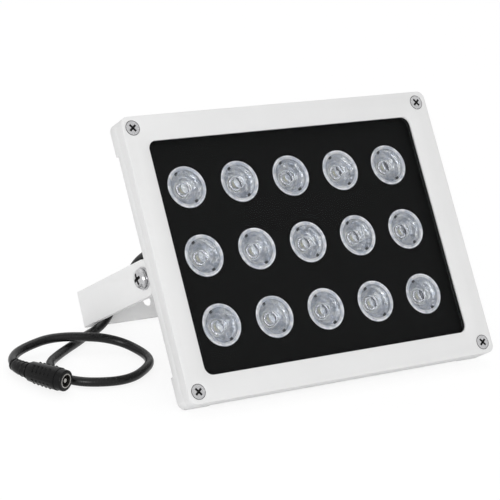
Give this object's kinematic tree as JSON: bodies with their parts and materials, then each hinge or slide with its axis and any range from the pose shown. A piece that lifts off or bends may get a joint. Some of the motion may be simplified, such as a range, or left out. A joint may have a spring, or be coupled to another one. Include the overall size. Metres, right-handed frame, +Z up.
{
  "type": "infrared illuminator",
  "caption": "Slim rectangular infrared illuminator: finned cast shell, lens panel behind glass, tilting U bracket and a short lead with a DC socket.",
  "frame": {"origin": "centre of the footprint at the level it stands on, without the lead and its socket", "axes": "+Z up, -Y the way the lamp faces, +X to the right for a viewer in front of it"},
  "size_m": [0.2335, 0.1244, 0.1204],
  "materials": {
    "white_paint": "satin powder coat",
    "window_glass": "clear float glass",
    "black_rubber": "matte",
    "black_plate": "matte black",
    "lens_clear": "clear moulded",
    "board_green": "solder mask",
    "emitter_yellow": "cast resin",
    "stainless": "stainless",
    "black_plastic": "moulded, fine grain",
    "cable_black": "satin jacket",
    "contact_metal": "nickel plated"
  },
  "bodies": {
    "lamp_head": {"front_frame": "white_paint", "rear_housing": "white_paint", "front_glass": "window_glass", "glass_gasket": "black_rubber", "lens_plate": "black_plate", "led_board": "board_green", "led_emitters": "emitter_yellow", "driver_board": "board_green", "corner_screws": "stainless", "pivot_washers": "stainless", "pivot_screws": "stainless", "cable_gland": "black_plastic", "gland_nut": "black_plastic", "power_cable": "cable_black", "dc_socket": "black_plastic", "dc_sleeve": "contact_metal", "dc_pin": "contact_metal", "lens_01": "lens_clear", "lens_02": "lens_clear", "lens_03": "lens_clear", "lens_04": "lens_clear", "lens_05": "lens_clear", "lens_06": "lens_clear", "lens_07": "lens_clear", "lens_08": "lens_clear", "lens_09": "lens_clear", "lens_10": "lens_clear", "lens_11": "lens_clear", "lens_12": "lens_clear", "lens_13": "lens_clear", "lens_14": "lens_clear", "lens_15": "lens_clear"},
    "bracket": {"u_bracket": "white_paint"}
  },
  "joints": [
    {"name": "bracket_tilt", "type": "hinge", "parent": "lamp_head", "child": "bracket", "pos_m": [0, -0.00349, 0.04721], "axis": [1, 0, 0], "range_deg": [0, 87]}
  ]
}
